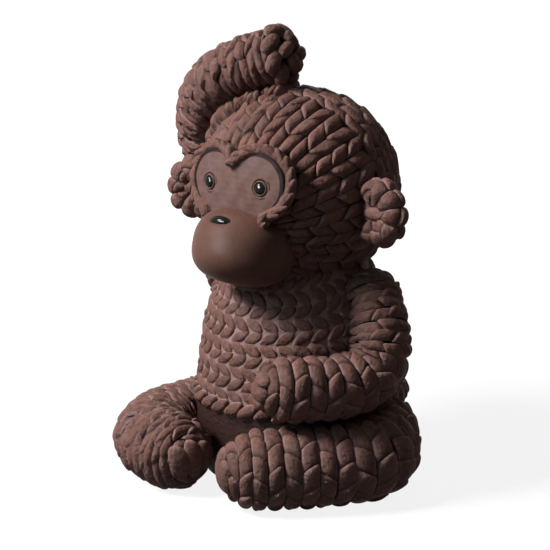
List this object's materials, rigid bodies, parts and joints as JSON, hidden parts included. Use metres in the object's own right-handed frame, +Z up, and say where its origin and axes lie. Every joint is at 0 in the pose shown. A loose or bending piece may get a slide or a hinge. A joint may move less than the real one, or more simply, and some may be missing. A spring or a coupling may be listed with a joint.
{
  "type": "monkey figurine",
  "caption": "Seated hollow ceramic monkey ornament with a chunky leaf-stitch relief, one arm over its head and one resting on its leg.",
  "frame": {"origin": "on the ground, at the centre of the torso's closed foot", "axes": "+Z up, the monkey faces -Y, its left side is +X"},
  "size_m": [0.111, 0.0951, 0.1493],
  "materials": {
    "bisque": "matte",
    "mask_bisque": "matte",
    "satin_bisque": "satin",
    "black_glaze": "gloss"
  },
  "bodies": {
    "root": {"torso_shell": "bisque", "head_shell": "bisque", "face_plate": "mask_bisque", "face_rim": "bisque", "muzzle_shell": "satin_bisque", "nose": "black_glaze", "left_eye": "black_glaze", "right_eye": "black_glaze", "left_ear": "bisque", "right_ear": "bisque", "raised_arm": "bisque", "resting_arm": "bisque", "left_leg": "bisque", "right_leg": "bisque"}
  },
  "joints": []
}
